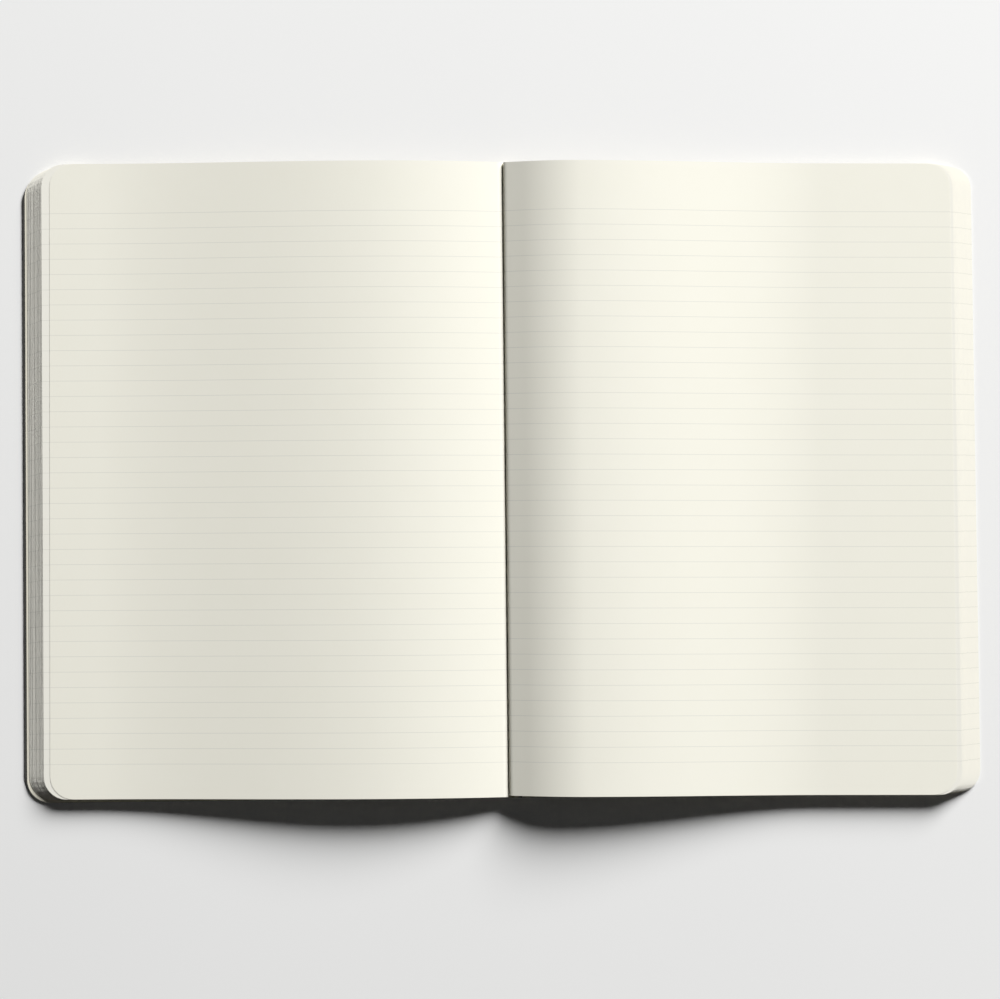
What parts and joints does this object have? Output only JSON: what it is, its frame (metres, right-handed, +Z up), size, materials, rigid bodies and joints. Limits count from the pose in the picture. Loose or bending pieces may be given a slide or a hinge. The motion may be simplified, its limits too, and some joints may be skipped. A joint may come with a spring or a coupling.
{
  "type": "softcover notebook",
  "caption": "Softcover notebook lying open with blank ruled pages, arched page halves, fanned fore edges and thin covers that fold shut at the spine.",
  "frame": {"origin": "on the table under the middle of the spine, at the centre of the open notebook's base", "axes": "+X across the spread towards the right page, +Y up the page towards its head, +Z up from the table"},
  "size_m": [0.3774, 0.2508, 0.011],
  "materials": {
    "cover": "soft matt grained leatherette, black",
    "endpaper": "uncoated ivory paper",
    "pages": "uncoated ivory writing paper with faint grey ruled lines",
    "lining": "glued gauze and kraft paper",
    "thread": "white sewing thread"
  },
  "bodies": {
    "back_half": {"back_cover": "cover", "back_endpaper": "endpaper", "right_pages": "pages"},
    "spine_strip": {"spine": "cover", "spine_lining": "lining", "sewing_thread": "thread"},
    "front_half": {"front_cover": "cover", "front_endpaper": "endpaper", "left_pages": "pages"}
  },
  "joints": [
    {"name": "back_cover_hinge", "type": "hinge", "parent": "back_half", "child": "spine_strip", "pos_m": [0.0075, 0, 0.0006], "axis": [0, 1, 0], "range_deg": [0, 86], "deforming": ["right_pages"]},
    {"name": "front_cover_hinge", "type": "hinge", "parent": "spine_strip", "child": "front_half", "pos_m": [-0.0075, 0, 0.0006], "axis": [0, 1, 0], "range_deg": [0, 86], "deforming": ["left_pages"]}
  ]
}
